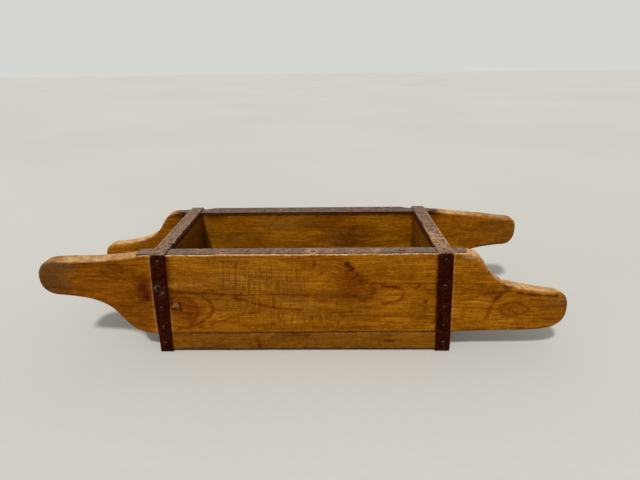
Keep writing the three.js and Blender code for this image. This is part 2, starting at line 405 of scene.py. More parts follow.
# Marks drawn through points on the same plane: (width, strength, points).
SAW_MARKS = [
    (1, 1, [(-73.9, 104), (-75, 88), (-76.5, 72)]), (1, 1, [(-61.9, 100), (-63.4, 82), (-64.6, 62)]),
    (0.9, 0.5, [(-104, 81), (-105, 71)]), (0.9, 0.7, [(-50.6, 84), (-51.7, 60)]),
    (0.9, 0.7, [(-39.8, 92), (-41.2, 63)]), (0.9, 0.7, [(-28.2, 62), (-28.8, 50)]),
    (0.9, 0.4, [(-31, 86), (-31.6, 68)]), (0.9, 0.4, [(-21.6, 94), (-22.4, 70)]),
    (0.9, 0.4, [(-70, 90), (-70.8, 76)]), (0.9, 0.3, [(-12, 84), (-12.6, 62)]),
    (0.9, 0.4, [(-62.8, 58), (-64, 30)]), (1.4, 1.5, [(12.7, 99.4), (12.5, 93.6)]),
    (0.9, 0.5, [(-56.6, 54), (-57.2, 44)]), (0.9, 0.4, [(-46, 60), (-46.6, 40)]),
]
GRAIN_LINES = [
    (1.25, 0.75, [
        (-127, 68), (-113.4, 67.1), (-100.4, 64.9), (-91.9, 57.5), (-87.6, 48.7),
        (-92.6, 39.8), (-102.3, 32.7), (-112.2, 28.2), (-127, 25.9),
    ]),
    (1.8, 0.6, [(-113, 60), (-108, 57), (-104.6, 50), (-103.8, 45), (-107.2, 37.3), (-112, 32)]),
    (2.4, 0.3, [(-116, 56), (-111, 52), (-110, 45), (-113, 39)]),
    (1.2, 0.75, [(-97, 65.4), (-88.6, 64.8), (-54.4, 63.9), (-20, 64.4), (24, 63)]),
    (1.4, 0.7, [(-67, 60.6), (-56, 57.6), (-40, 52), (-28.8, 49.8), (0, 47)]),
    (1.6, 0.5, [(-104, 28.1), (-80, 35), (-63.9, 41.7), (-44, 45)]),
    (1, 0.7, [(68, 75.9), (81.2, 75.5), (131, 75.2)]),
    (1.7, 0.9, [
        (78, 73), (87.8, 71.9), (95, 70), (99, 66.8), (98.6, 62), (97.4, 58.8), (90, 55), (78, 53.6),
    ]),
    (2.2, 0.5, [(58, 80), (66, 75), (70, 69), (68, 62), (60, 57.5)]),
    (1.4, 0.9, [(109.8, 70.4), (113.6, 73)]),
    (1, 0.45, [(60, 34), (96, 33.4), (130, 32.5)]), (1, 0.4, [(10, 27), (60, 27.5), (120, 29)]),
    (1, 0.35, [(30, 40), (70, 41), (128, 39.5)]), (1, 0.45, [(150, 71), (170, 70.6), (188, 71.5)]),
    (1.3, 0.6, [(152, 55), (168, 60), (180, 64), (192, 67)]), (1.1, 0.4, [(154, 48), (176, 49), (190, 47)]),
    (1, 0.3, [(-236, 72), (-216, 70.6), (-196, 68)]),
    (2.2, 0.75, [(200, 69.5), (194, 65), (189, 59), (184.5, 50), (181, 38)]),
    (1.5, 0.55, [
        (193, 47), (196.5, 51), (201, 54), (206, 55), (211, 54), (216, 51), (222, 47),
        (216, 42.5), (211, 39.8), (206.5, 39), (201, 40.2), (196.5, 43), (193, 47),
    ]),
    (1.5, 0.25, [(200, 47), (207, 50.5), (215, 47), (207, 43.5), (200, 47)]),
    (1.2, 1.3, [(209, 64.6), (216, 63.4), (224, 62.8), (232, 62.2), (240, 61.6), (247, 61)]),
    (1, 0.4, [(222, 58), (234, 57), (246, 57)]), (1, 0.3, [(226, 50), (250, 49)]),
]
SCRATCHES = [
    (0.8, 0.3, [(-132, 74.5), (-97, 74.3)]), (0.7, 0.15, [(-105, 78.2), (-50, 77.6)]),
    (0.7, 0.15, [(-90, 83), (-70, 82.8)]), (0.7, 0.15, [(-128, 96), (-100, 95)]),
    (0.8, 0.15, [(-20, 55), (20, 52)]), (0.8, 0.2, [(-68.8, 81.3), (-50.7, 81.2)]),
]
FRONT_NOTCHES = [
    (197.5, 72.6, 2.6, 1.8), (176, 95, 1.8, 0.7), (-251, 92, 3, 0.5), (245, 66, 2.2, 0.9),
    (252.5, 61, 2, 0.7), (232, 66.5, 3, 0.5),
]
# The notch at the root of the low handle, which stays dark.
DARK_NOTCH = (197, 73.5, 3.2, 1)
# A square patch let into the front board.
PLUG_X, PLUG_Z = -124.6, 51.4
PLUG_HALF = 3.8


def joint_rise(points):
    """The joint between side and base boards climbs a little towards the right of the front."""
    return 0.9 * smooth(-160, 170, points[:, X])


def front_shape(points):
    """Wear on the front board: the lip before its strap, a climbing foot, and a low grip worn at its back."""
    x, y, z = points.T
    moved = points.copy()
    outer = smooth(2.7, 1.9, y + SIDE_OUTER_Y)
    middle = smooth(STRAP_LOW[X], STRAP_LOW[X] + 3, x) * smooth(SHOULDER_X + 4, SHOULDER_X - 4, x)
    ragged = 1.5 + 0.5 * noise(points, (11, 40, 40), 31) + 0.5 * noise(points, (3.5, 40, 40), 32)
    moved[:, Z] += ragged * outer * middle * smooth(SIDE_TOP - 3, SIDE_TOP - 0.6, z)
    moved[:, Z] += joint_rise(points) * smooth(SIDE_BOTTOM + 14, SIDE_BOTTOM, z)
    grip_back = smooth(188, 216, x) * smooth(4 - SIDE_OUTER_Y, -SIDE_INNER_Y, y)
    moved[:, Z] -= (1 + smooth(226, 246, x)) * grip_back * smooth(50, 64, z)
    return moved


def chip_edges(obj, points, rim, seed, amount):
    """Bites out of the edges, where rim is 1 at an edge and 0 away from it."""
    bites = smooth(0.35, 0.8, noise(points, 6.0, seed))
    nibbles = smooth(0.45, 0.85, noise(points, 2.6, seed + 1))
    return points - get_normals(obj) * (amount * rim * (bites + 0.4 * nibbles))[:, None]


def edge_nearness(points, depth, low, high, axis, reach):
    """1 along a plank's edges and 0 further than reach from them."""
    under = np.minimum(points[:, axis] - low, high - points[:, axis])
    return smooth(reach, 0, depth) * smooth(reach, 0, under)


def front_grain(points):
    """Heights across the fibres and across the rings of the front board, in millimetres.

    The rings close in an eye near the left band and in long tongues towards the right, and knots push both
    aside.
    """
    x, y, z = points.T
    knots = [(52, 71, 22, 13, 5.5), (45, 93, 8, 5, 3), (208.4, 46.3, 15, 8, -2), (105, 83.4, 10, 5, 1.5)]
    knots += [(-122, 52, 13, 8, -4), (188, 52, 12, 18, 2.5)]
    pushed = swells(points, knots) + 1.3 * noise(points, (110, 60, 26), 3)
    across = z + 0.6 * y + 0.015 * x + pushed
    away = np.sqrt((x + 114) ** 2 + 6**2) - 6
    buried = 7 + 17 * (1 - np.exp(-away / 16)) + 0.075 * away + 0.6 * (y + SIDE_OUTER_Y)
    rings = np.hypot(z - 52 - 0.03 * (x + 105) + 0.8 * pushed, buried)
    return across, rings + 0.8 * noise(points, (50, 30, 9), 4)


def back_grain(points):
    """The same for the back board: long easy lines with a few swirls."""
    x, y, z = points.T
    pushed = swells(points, [(66, 64, 26, 18, 7), (-190, 40, 18, 10, -4), (212, 82, 26, 14, 5)])
    across = z + 0.5 * y + 0.012 * x + pushed + 3 * noise(points, (150, 60, 45), 13)
    return across, across + noise(points, (60, 30, 14), 14)


def end_grain(points):
    across = points[:, Z] + 0.5 * points[:, X] + 2.5 * noise(points, (40, 90, 40), 23)
    return across, across


def base_grain(points):
    across = 0.7 * points[:, Y] + 1.1 * points[:, Z] + 3 * noise(points, (150, 50, 40), 25)
    return across, across


def handle_share(points):
    """0 over the box, 1 out on the handles."""
    return smooth(150, 172, np.abs(points[:, X]))


def side_paint(obj, points, depth, seed, flat):
    """Wear, dirt and haze that both side boards have: pale tops, worn where they face up more than flat,
    dark undersides, which are painted shade, and edges rubbed bare, lighter on the handles' tops as a painted
    highlight."""
    up = get_normals(obj)[:, Z]
    mottle = noise(points, 7, seed, 3)
    streak = noise(points, (30, 5, 5), seed + 2)
    flat = flat + 0.18 * smooth(185, 200, points[:, X])
    handle = handle_share(points)
    # The handles' top edges: rubbed bare, and lighter as a painted highlight.
    rubbed_lit_edge = smooth(3.2, 0.5, depth) * handle * smooth(-0.2, 0.4, up)
    wear = smooth(flat, flat + 0.35, up) * (0.86 + 0.3 * mottle) + 0.25 * rubbed_lit_edge * (0.5 + mottle)
    # Faces turned down are darker: painted shade under the handles and edges.
    grime_and_shade = 0.7 * smooth(-0.2, -0.8, up) * (0.8 + 0.3 * mottle) + 0.1 * smooth(0.2, 0.7, streak)
    haze = 0.25 * handle * smooth(0, 0.6, mottle) + 0.12 * smooth(0.1, 0.7, streak)
    return wear, grime_and_shade, haze


def band_lean(height):
    """How much further out than its top a band's leg is at a height."""
    return (BAND_HIGH[X] - BAND_LOW[X] - STRAP_WIDTH) * (1 - height / BAND_HIGH[Z])


def band_gap(points):
    """How far each point is along X from the nearer edge of a band's leg; under 0 below the band."""
    centre = BAND_MIDDLE + band_lean(points[:, Z])
    return np.abs(np.abs(points[:, X]) - centre) - STRAP_WIDTH / 2


def pale_beside_leg(x, z):
    """Where the wood next to a front leg is rubbed pale. The leg's other side gets a painted shadow instead.
    """
    left_of_leg = x < np.sign(x) * BAND_MIDDLE
    return np.where(x < 0, left_of_leg | (z < 48), ~left_of_leg)


def front_marks(points):
    """How strongly each kind of mark on the front board's outer face shows at each point."""
    x, y, z = points.T
    face = smooth(2.2, 0.8, y + SIDE_OUTER_Y)
    plug = np.maximum(np.abs(x - PLUG_X), np.abs(z - PLUG_Z)) + 1.3 * noise(points, 2.4, 47)
    seam = 0.45 + 0.75 * smooth(-4, 4, x - PLUG_X - 0.6 * (z - PLUG_Z))
    return SimpleNamespace(
        face=face,
        holes=spots(points, FRONT_HOLES) * face,
        saw=strokes(points, SAW_MARKS) * face,
        lines=strokes(points, GRAIN_LINES) * face,
        notch=spots(points, FRONT_NOTCHES),
        plug=plug,
        plug_edge=near(plug, PLUG_HALF, 1.3) * face * seam,
    )


def carve_front(obj, points, marks):
    """Cuts the marks and the knots into the front board. Returns its points."""
    points = weather(obj, points, 51, X)
    uneven = 0.7 + 0.9 * noise(points, 2.8, 49)
    marks.knots = (spots(points, FRONT_KNOTS) + circles(points, KNOT_RINGS) * uneven) * marks.face
    carved = 0.9 * np.minimum(marks.holes, 1.2) + 0.14 * marks.saw + 0.1 * marks.lines
    carved += 0.6 * marks.plug_edge + marks.notch + 0.25 * marks.knots
    points = points - get_normals(obj) * carved[:, None]
    set_points(obj, points)
    marks.speckle = noise(points, 5, 67, 3)
    marks.broken = 0.8 + 0.6 * noise(points, 6, 73)
    return points


def front_wear(points, depth, marks):
    """Where the front board is rubbed pale: its lip, its shoulder, which is also lightened as a painted
    highlight, beside the legs, and in scratches.
    """
    x, z = points[:, X], points[:, Z]
    lip = smooth(1, 0.2, depth) * (z > SIDE_TOP - 8) * (np.abs(x) < SHOULDER_X)
    # The shoulder: rubbed pale, and lighter as a painted highlight.
    rubbed_lit_shoulder = smooth(150, 156, x) * smooth(190, 182, x) * smooth(84, 90, z) * smooth(5.5, 1.5, depth)
    pale = pale_beside_leg(x, z)
    wear = 1.1 * lip * (0.75 + noise(points, (4, 6, 6), 69)) * marks.face
    wear += 0.6 * rubbed_lit_shoulder * smooth(-0.5, 0.3, marks.speckle)
    wear += (0.2 * near(band_gap(points), 0.8, 0.9) * pale + 0.6 * strokes(points, SCRATCHES)) * marks.face
    return wear


def front_grime_and_shade(points, depth, marks):
    """Darkening on the front board: dirt in its marks and under the legs, darker specks and edges at the
    grip's end, a dark line along the joint at the foot, and a painted shadow beside each leg on the side that
    is not rubbed pale.
    """
    x, z = points[:, X], points[:, Z]
    gap = band_gap(points)
    # A painted shadow along each leg, on the side of it that is not rubbed pale.
    painted_leg_shadow = near(gap, 0.6, np.where(x < 0, 10, 2)) * ~pale_beside_leg(x, z)
    grip_end = smooth(244, 254, x) * (0.3 * smooth(0.1, 0.5, marks.speckle) + 0.4 * smooth(3, 0.5, depth))
    plug = (marks.plug < PLUG_HALF) * smooth(-0.1, 0.3, noise(points, 1.9, 74))
    foot = smooth(1.6, 0.2, z - SIDE_BOTTOM - joint_rise(points)) * (np.abs(x) < FOOT_X)
    grime_and_shade = (0.6 * painted_leg_shadow + grip_end + 0.5 * smooth(0.6, -0.5, gap) + 0.8 * plug) * marks.face
    grime_and_shade += 0.85 * (marks.holes + marks.knots) + (0.72 * marks.saw + 0.45 * marks.lines) * marks.broken
    return grime_and_shade + 1.2 * marks.plug_edge + 0.8 * foot


def front_age(points, marks):
    """Fine upright cuts, grey wood, warm stains, and a painted shadow beside the left leg on the front board.
    """
    x, y, z = points.T
    cuts = spots(points, FRONT_CUTS) * marks.face
    grey = spots(points, FRONT_GREY) * (0.75 + 0.9 * marks.speckle) * smooth(6, 3, y + SIDE_OUTER_Y)
    grey += 0.3 * (marks.plug < PLUG_HALF) * marks.face
    right_of_left_leg = (x > -135) & (x < -117)
    # A painted shadow along the right side of the left leg, above 48 mm.
    painted_leg_shadow = near(band_gap(points), 1.5, 9) * right_of_left_leg * smooth(48, 60, z)
    warm_stain_and_shadow = 1.4 * marks.lines * marks.broken + spots(points, FRONT_STAINS) * (1 + 0.3 * marks.speckle)
    warm_stain_and_shadow = (warm_stain_and_shadow + 0.6 * painted_leg_shadow) * marks.face + 0.32 * smooth(-140, -158, x) + 0.12 * smooth(60, -60, x)
    return cuts, grey, warm_stain_and_shadow


def front_board():
    outline = side_outline(0, 0, 1.5)
    low, high = -SIDE_OUTER_Y, -SIDE_INNER_Y

    def radius(own):
        x = np.abs(own[:, 0])
        return 0.8 + 1.2 * smooth(150, 176, x) + 2.4 * smooth(215, 252, x) + 0.3 * noise(own, 16, 41)

    obj, points, depth = plank("front_board", outline, low, high, (X, Z, Y), radius, SIDE_VOXEL)
    points = front_shape(points)
    set_points(obj, points)
    rim = edge_nearness(points, depth, low, high, Y, 2.6)
    points = chip_edges(obj, points, rim, 43, 0.55)
    marks = front_marks(points)
    points = carve_front(obj, points, marks)

    x = points[:, X]
    wear, grime_and_shade, haze = side_paint(obj, points, depth, 61, 0.5)
    wear += front_wear(points, depth, marks)
    wear *= 1 - 0.7 * spots(points, [DARK_NOTCH])
    wear *= (1 - 0.25 * (x < -150)) * (1 - 0.55 * smooth(-222, -244, x))
    wear *= 1 - 0.9 * np.minimum(marks.holes, 1)
    wear += 0.5 * (marks.plug < PLUG_HALF - 0.4) * marks.face * smooth(0, 0.4, -noise(points, 1.9, 74))
    grime_and_shade += front_grime_and_shade(points, depth, marks)
    haze += spots(points, FRONT_HAZE) * marks.face * (0.7 + 0.5 * marks.speckle)
    set_paint(obj, "age", *front_age(points, marks))
    set_layer(obj, "wood", x, *front_grain(points))
    set_paint(obj, "paint", wear, grime_and_shade, haze)
    finish_piece(obj, WOOD["side"], "front_side_board")


BACK_STAINS = [
    (52, 62, 16, 0.45), (56, 88, 14, 0.3), (-110, 100, 14, 0.4), (20, 104, 30, 0.25),
    (-70, 52, 30, 0.15), (205, 74, 14, 0.3),
]


def back_board():
    outline = side_outline(4.2, 4.5, 3.5)
    turned = np.stack([-outline[::-1, 0], outline[::-1, 1]], axis=1)
    low, high = SIDE_INNER_Y, SIDE_OUTER_Y

    def radius(own):
        return 1.3 + 3.4 * smooth(184, 214, np.abs(own[:, 0])) + 0.4 * noise(own, 18, 71)

    obj, points, depth = plank("back_board", turned, low, high, (X, Z, Y), radius, SIDE_VOXEL)
    rim = edge_nearness(points, depth, low, high, Y, 2.6)
    points = chip_edges(obj, points, rim, 73, 0.5)
    points = weather(obj, points, 81, X)
    set_points(obj, points)

    x, y, z = points.T
    handle = handle_share(points)
    inner = smooth(2.4, 0.8, y - low)
    boxed = inner * (1 - handle)
    corner = smooth(3.5, 0, CAVITY_HALF - np.abs(x))
    wear, grime_and_shade, haze = side_paint(obj, points, depth, 83, 0.66)
    grime_and_shade += (0.16 + 0.12 * smooth(80, 64, z)) * handle + spots(points, BACK_STAINS) * inner
    # Inside the box: dark streaks, and painted shade in the inner corners.
    grime_and_shade += boxed * (0.22 * smooth(0.1, 0.7, noise(points, (60, 20, 5), 85)) + 0.5 * corner)
    # A painted shadow along the board's top, under the back strap.
    grime_and_shade += 0.9 * (1 - handle) * smooth(SIDE_TOP - 5, SIDE_TOP - 1.5, z)
    haze += 0.35 * smooth(205, 222, x)
    # Grey streaks on the inner face, stronger to the left: scuffs, and a painted sheen.
    haze += 0.9 * boxed * smooth(0, 0.5, noise(points, (45, 20, 4), 86)) * (1 - 0.6 * smooth(20, 70, x))
    set_layer(obj, "wood", x + BACK_SHIFT, *back_grain(points))
    set_paint(obj, "paint", wear * handle, grime_and_shade, haze)
    finish_piece(obj, WOOD["side"], "back_side_board")


def end_board(side, label, seed):
    node = label + "_end_board"
    low, high = span(node)
    outline = box_outline(low[[Y, Z]], high[[Y, Z]])
    obj, points, depth = plank(label + "_end", outline, low[X], high[X], (Y, Z, X), 0.9, END_VOXEL)
    rim = edge_nearness(points, depth, low[X], high[X], X, 2.2)
    points = chip_edges(obj, points, rim, seed, 0.35)
    points = weather(obj, points, seed + 2, Y, 0.8)
    set_points(obj, points)

    x, y, z = points.T
    normals = get_normals(obj)
    mottle = noise(points, 8, seed + 4, 3)
    outside = smooth(-0.15, 0.15, side * (x - (low[X] + high[X]) / 2) / END_THICKNESS)
    up = outside * smooth(0.3, 0.85, normals[:, Z]) * smooth(high[Z] - 4, high[Z] - 1, z)
    inner = smooth(0.2, 0.8, -side * normals[:, X])
    wear = up * (0.9 + 0.25 * mottle) + 0.25 * outside * rim * (0.5 + mottle) * smooth(60, 90, z)
    # The inner face darker, more so towards the bottom: painted shade inside the box.
    grime_and_shade = inner * (0.1 + 0.2 * smooth(75, 20, z)) + 0.25 * smooth(0, 0.6, mottle)
    # A painted shadow along the inner top edge, under the band.
    grime_and_shade += (1 - outside) * smooth(high[Z] - 6, high[Z] - 2, z)
    haze = 0.2 + 0.2 * smooth(0, 0.5, mottle)
    set_layer(obj, "wood", y + END_SHIFT * side, *end_grain(points))
    set_paint(obj, "paint", wear, grime_and_shade, haze)
    finish_piece(obj, WOOD["end"], node)


BASE_MARKS = [(1.2, 0.6, [(77, 12), (92, 11.4)]), (2, 0.4, [(-46, 13), (-44, 6)])]


def base_board():
    outline = box_outline(BASE_LOW[[X, Y]], BASE_HIGH[[X, Y]])
    bottom, top = BASE_LOW[Z], BASE_HIGH[Z]
    obj, points, depth = plank("base", outline, bottom, top, (X, Y, Z), 1.0, BASE_VOXEL)
    points[:, Z] += joint_rise(points) * smooth(bottom + 2, top, points[:, Z])
    behind_leg = smooth(-138, -144, points[:, X]) * smooth(-48, -62, points[:, Y])
    points[:, X] += 2.4 * behind_leg
    set_points(obj, points)
    rim = edge_nearness(points, depth, bottom, top, Z, 2.4)
    points = chip_edges(obj, points, rim, 91, 0.5)
    points = weather(obj, points, 93, X)
    set_points(obj, points)

    x, z = points[:, X], points[:, Z]
    mottle = noise(points, 9, 95, 3)
    facing_up = smooth(0.4, 0.9, get_normals(obj)[:, Z])
    grime_and_shade = 0.3 + 0.35 * facing_up + 0.25 * smooth(0.1, 0.7, noise(points, (40, 6, 6), 97))
    # Darker towards the left, and a painted contact shadow along the bottom edge.
    grime_and_shade += 0.18 * smooth(60, -60, x) + 0.9 * smooth(bottom + 2.4, bottom + 0.4, z)
    grime_and_shade += 0.9 * smooth(top - 1.4, top - 0.2, z - joint_rise(points)) + strokes(points, BASE_MARKS)
    set_layer(obj, "wood", x + BASE_SHIFT, *base_grain(points))
    set_paint(obj, "paint", 0.12 * rim * (0.6 + mottle), grime_and_shade, 0.35 + 0.3 * mottle)
    finish_piece(obj, WOOD["base"], "base_board")


# ---- Hoop iron

ACROSS_STEPS = 20
CORNER_STEPS = 3
IRON_STEP = 0.8


def strap_section(half_width):
    """Across and up, round a strap's rounded section: its top, its far edge, its underside, its near edge."""
    radius = min(0.42 * IRON, half_width)
    flat = half_width - radius
    high = IRON - radius
    points = [(flat * (2 * i / ACROSS_STEPS - 1), IRON) for i in range(ACROSS_STEPS + 1)]
    corners = [(flat, high, 90), (flat, radius, 0), (-flat, radius, -90), (-flat, high, -180)]
    for number, (across, up, start) in enumerate(corners):
        last = number == len(corners) - 1
        for i in range(1, CORNER_STEPS + (not last)):
            angle = math.radians(start - 90 * i / CORNER_STEPS)
            points.append((across + radius * math.cos(angle), up + radius * math.sin(angle)))
        if number == 1:
            steps = ACROSS_STEPS // 2
            points += [(flat * (1 - 2 * i / steps), 0.0) for i in range(1, steps)]
    return np.array(points)


def tube_faces(rings, around):
    """The faces of a closed tube of rings, each of so many points around."""
    faces = [list(range(around)), [(rings - 1) * around + i for i in range(around - 1, -1, -1)]]
    for first in range(0, (rings - 1) * around, around):
        for i in range(around):
            j = (i + 1) % around
            faces.append([first + i, first + j, first + around + j, first + around + i])
    return faces


def loft(name, places, sideways, outward, half_widths):
    """A strap along places, with its width sideways and its thickness outward, as one closed mesh."""
    rings = []
    for place, out, half_width in zip(places, outward, half_widths):
        section = strap_section(half_width)
        rings.append(place + section[:, :1] * sideways + section[:, 1:] * out)
    return add_mesh(name, np.concatenate(rings), tube_faces(len(rings), len(rings[0])))


# Marks on the iron, each (x, y, z, radius, strength): patches of tan rust, and dark dented scars.
TAN_RUST = {
    "front_rim_strap": [
        (-75, -71, 108, 5, 1.6), (-14, -71, 108, 4, 1.2), (11, -70, 108, 7, 1.5), (26, -69, 108, 5, 1.4),
        (52, -69, 108, 5, 1.4), (71, -69, 108, 5, 1.6),
    ],
    "back_rim_strap": [],
    "left_band": [
        (-139, -79, 71, 3.2, 1.1), (-136.5, -79, 68, 2.4, 1), (-142, -79, 74, 2, 0.7),
        (-131, -58, 108, 4, 0.6), (-138, -72, 108, 4, 0.6), (-132, -40, 108, 3, 0.8),
        (-131, -20, 108, 4, 0.6), (-131, 18, 108, 4, 0.9),
    ],
    "right_band": [
        (132, -62, 108, 9, 1), (133, -45, 108, 12, 1.2), (132, -28, 108, 11, 1.2), (130, -10, 108, 8, 0.9),
        (131, 6, 108, 6, 0.4),
    ],
}
SCARS = {
    "front_rim_strap": [(110, -70, 108, 3, 0.5), (-30, -67, 108, 3, 0.4)],
    "back_rim_strap": [],
    "left_band": [
        (-142.9, -79, 75.6, 2.3, 1.3), (-139.4, -79, 73.4, 1.3, 0.9), (-136.6, -79, 70.6, 1.2, 0.9),
        (-139.6, -79, 68.6, 1.1, 0.7), (-127, -34, 108, 2.4, 1), (-126.5, -60, 108, 2.2, 1),
    ],
    "right_band": [
        (136, -12, 108, 3.5, 0.8), (137, -40, 108, 3, 0.6), (134, -58, 108, 2.6, 0.5),
        (137, -79, 102, 2.5, 0.6),
    ],
}


def forge(obj, node, across, seed, nail_points):
    """Hammers, pits and bends an iron strap, and keeps its rust for the material. across is each point's way
    across the strap, outward from the box."""
    points = get_points(obj)
    at_back = node == "back_rim_strap"
    outward = across / (STRAP_WIDTH / 2)
    edge = smooth(0.72, 0.98, np.abs(outward))
    nails = np.minimum(spots(points, [(*place, 4, 1) for place in nail_points]), 1)
    pits = smooth(0.35, 0.8, noise(points, 1.7, seed))
    scale = noise(points, 3.5, seed + 1)
    scars = np.minimum(spots(points, SCARS[node]), 1.3)
    nibble = smooth(0.3, 0.8, noise(points, 4.5, seed + 3))
    nibble += 0.5 * smooth(0.5, 0.9, noise(points, 1.9, seed + 4))
    move = 0.13 * noise(points, 14, seed + 2) + 0.08 * scale - 0.13 * pits
    move -= (0.1 if "rim" in node else 0.28) * nails + 0.42 * edge * nibble + 0.5 * scars
    points = points + get_normals(obj) * move[:, None]
    if at_back:
        between_bands = smooth(126, 112, np.abs(points[:, X]))
        points[:, Z] += 1.5 * between_bands * smooth(-0.1, 1, outward)
    set_points(obj, points)

    top = smooth(BAND_HIGH[Z] - 4, BAND_HIGH[Z] - 2, points[:, Z])
    rust = 0.35 * smooth(0.15, 0.75, noise(points, 9, seed + 5, 3)) + 0.3 * nails * smooth(-0.2, 0.5, scale)
    rust = (0.06 + 0.94 * top) * rust + spots(points, TAN_RUST[node]) * (0.75 + 0.6 * scale)
    dark = np.maximum(pits, scars)
    # On the rims, a painted shadow line along each strap's outer edge, and the back strap darker all over.
    if "rim" in node:
        dark = np.maximum(dark, np.maximum(1.3 * smooth(0.72, 0.9, outward), 0.5 * at_back))
    else:
        rust += 0.9 * smooth(0.74, 0.9, outward) * top * smooth(-0.5, 0.1, scale)
    worn = smooth(0.2, 0.7, noise(points, 4, seed + 6, 3)) + 0.5 * edge * smooth(-0.3, 0.4, scale)
    set_paint(obj, "paint", rust, dark, worn)


def end_width(distance, shape):
    """Half a rim strap's width at a distance from its end."""
    full = STRAP_WIDTH / 2
    tip = 0.55
    corner = 0.8
    if shape == "round":
        inward = full - min(distance, full)
        return max(tip, math.sqrt(full**2 - inward**2))
    rounding = corner - math.sqrt(corner**2 - (corner - min(distance, corner)) ** 2)
    if shape == "tapered":
        share = min(distance / 16, 1)
        return max(tip, full * (0.4 + 0.6 * share) - rounding)
    return full - rounding


def rim_strap(node, name, left_end, right_end, seed):
    low, high = span(node)
    middle = (low[Y] + high[Y]) / 2
    count = round((high[X] - low[X]) / IRON_STEP)
    ends = np.array([0.0, 0.15, 0.35, 0.6])
    inner = np.linspace(low[X] + 0.9, high[X] - 0.9, count)
    xs = np.concatenate([low[X] + ends, inner, high[X] - ends[::-1]])
    places = np.stack([xs, np.full(len(xs), middle), np.full(len(xs), low[Z])], axis=1)
    places[:, Y] += 0.25 * noise(places, 60, seed + 20)
    widths = [min(end_width(x - low[X], left_end), end_width(high[X] - x, right_end)) for x in xs]
    outward = np.tile([0, 0, 1], (len(xs), 1))
    obj = loft(name, places, np.array([0, 1, 0]), outward, widths)
    across = (get_points(obj)[:, Y] - middle) * np.sign(middle)
    forge(obj, node, across, seed, nail_tops(node.split("_")[0] + "_rim_nail"))
    finish_piece(obj, IRONS["rim"], node)


def nail_tops(prefix):
    """The middle of the head of each nail whose name starts so."""
    return [nail_place(node)[0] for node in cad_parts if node.startswith(prefix)]


def nail_place(node):
    """The middle of a nail's head, the way it faces, its length and its width."""
    low, high = span(node)
    size = high - low
    axis = int(np.argmax(size))
    facing = np.zeros(3)
    facing[axis] = 1.0 if axis == Z or low[Y] > 0 else -1.0
    head = (low + high) / 2
    head[axis] = high[axis] if facing[axis] > 0 else low[axis]
    return head, facing, size[axis], np.delete(size, axis).mean()


BEND = 2.0
BEND_STEPS = 6


def band_path():
    """Y, Z places round a band's inner face and the way out at each, from its joint under the base board."""
    inner = BEND - IRON
    y, low, high = BAND_HIGH[Y] - BEND, BEND, BAND_HIGH[Z] - BEND
    corners = [(-y, low, 270), (-y, high, 180), (y, high, 90), (y, low, 0)]
    places, outs = [np.array([-1.0, IRON])], [np.array([0.0, -1.0])]

    def run_to(end, out):
        begin = places[-1]
        count = round(np.linalg.norm(end - begin) / IRON_STEP)
        for step in range(1, count + 1):
            places.append(begin + (end - begin) * step / count)
            outs.append(out)

    for corner_y, corner_z, start in corners:
        for i in range(BEND_STEPS + 1):
            angle = math.radians(start - 90 * i / BEND_STEPS)
            out = np.array([math.cos(angle), math.sin(angle)])
            place = np.array([corner_y, corner_z]) + inner * out
            if i == 0:
                run_to(place, out)
            else:
                places.append(place)
                outs.append(out)
    run_to(np.array([1.0, IRON]), outs[-1])
    return np.array(places), np.array(outs)


# Nicks in the inner edge of a band's top: (y, length, depth).
NICKS = {
    "left_band": [
        (-66, 1.6, 1.8), (-52, 2.4, 1.5), (-47, 1.4, -0.8), (-34, 3, 1), (-12, 5, 0.7), (20, 6, 0.5),
    ],
    "right_band": [(-60, 2, 0.7), (-30, 3, 0.8), (10, 5, 0.6)],
}


def band(node, name, side, seed):
    flat, outs = band_path()
    places = np.column_stack([side * (BAND_MIDDLE + band_lean(flat[:, 1])), flat])
    places[:, X] += 0.3 * noise(places, 38, seed + 20)
    y, z = places[:, Y], places[:, Z]
    narrow = smooth(70, 0, z) * (y < -40) * (side < 0)
    nicked = sum(depth * near(y, at, length**2) for at, length, depth in NICKS[node]) * (z > BAND_HIGH[Z] / 2)
    places[:, X] += 0.9 * narrow + side * nicked / 2
    widths = STRAP_WIDTH / 2 - 0.15 - 0.85 * narrow - nicked / 2 + 0.25 * noise(places, 24, seed + 21)
    outward = np.column_stack([np.zeros(len(outs)), outs])
    obj = loft(name, places, np.array([1, 0, 0]), outward, widths)
    points = get_points(obj)
    across = side * points[:, X] - BAND_MIDDLE - band_lean(points[:, Z])
    tops = [top for prefix in ("front_", "back_", "") for top in nail_tops(prefix + node)]
    forge(obj, node, across, seed, tops)
    finish_piece(obj, IRONS["band"], node)


# ---- Nails

NAIL_SIDES = 22
LOW_HEAD, TALL_HEAD = 0.4, 1.55
# From the top of a nail's head in CAD down to where its underside lies.
HEAD_SEAT = 1.15


def head_profile(radius, height, facing_up):
    """Radius and height down a nail's head: a low dome on the rims, a thick dished disc on the legs."""
    angles = np.radians([0.01, 12, 25, 38, 51, 64, 77, 89.9])
    if facing_up:
        return [(radius * math.sin(a) ** 0.75, height * math.cos(a) ** 0.8) for a in angles]
    shape = [(math.sin(a) ** 0.8, math.cos(a) ** 0.35) for a in angles]
    return [(radius * r, height * z * (1 - 0.3 * math.exp(-((r / 0.55) ** 2)))) for r, z in shape]


def out_of_round(turns, random):
    """A hammered head's radius at each of turns round it, about 1."""
    radius = np.ones(len(turns))
    for lobes, size in ((2, 0.05), (3, 0.05), (5, 0.03)):
        radius += size * np.cos(lobes * turns + random.uniform(0, 6))
    return radius


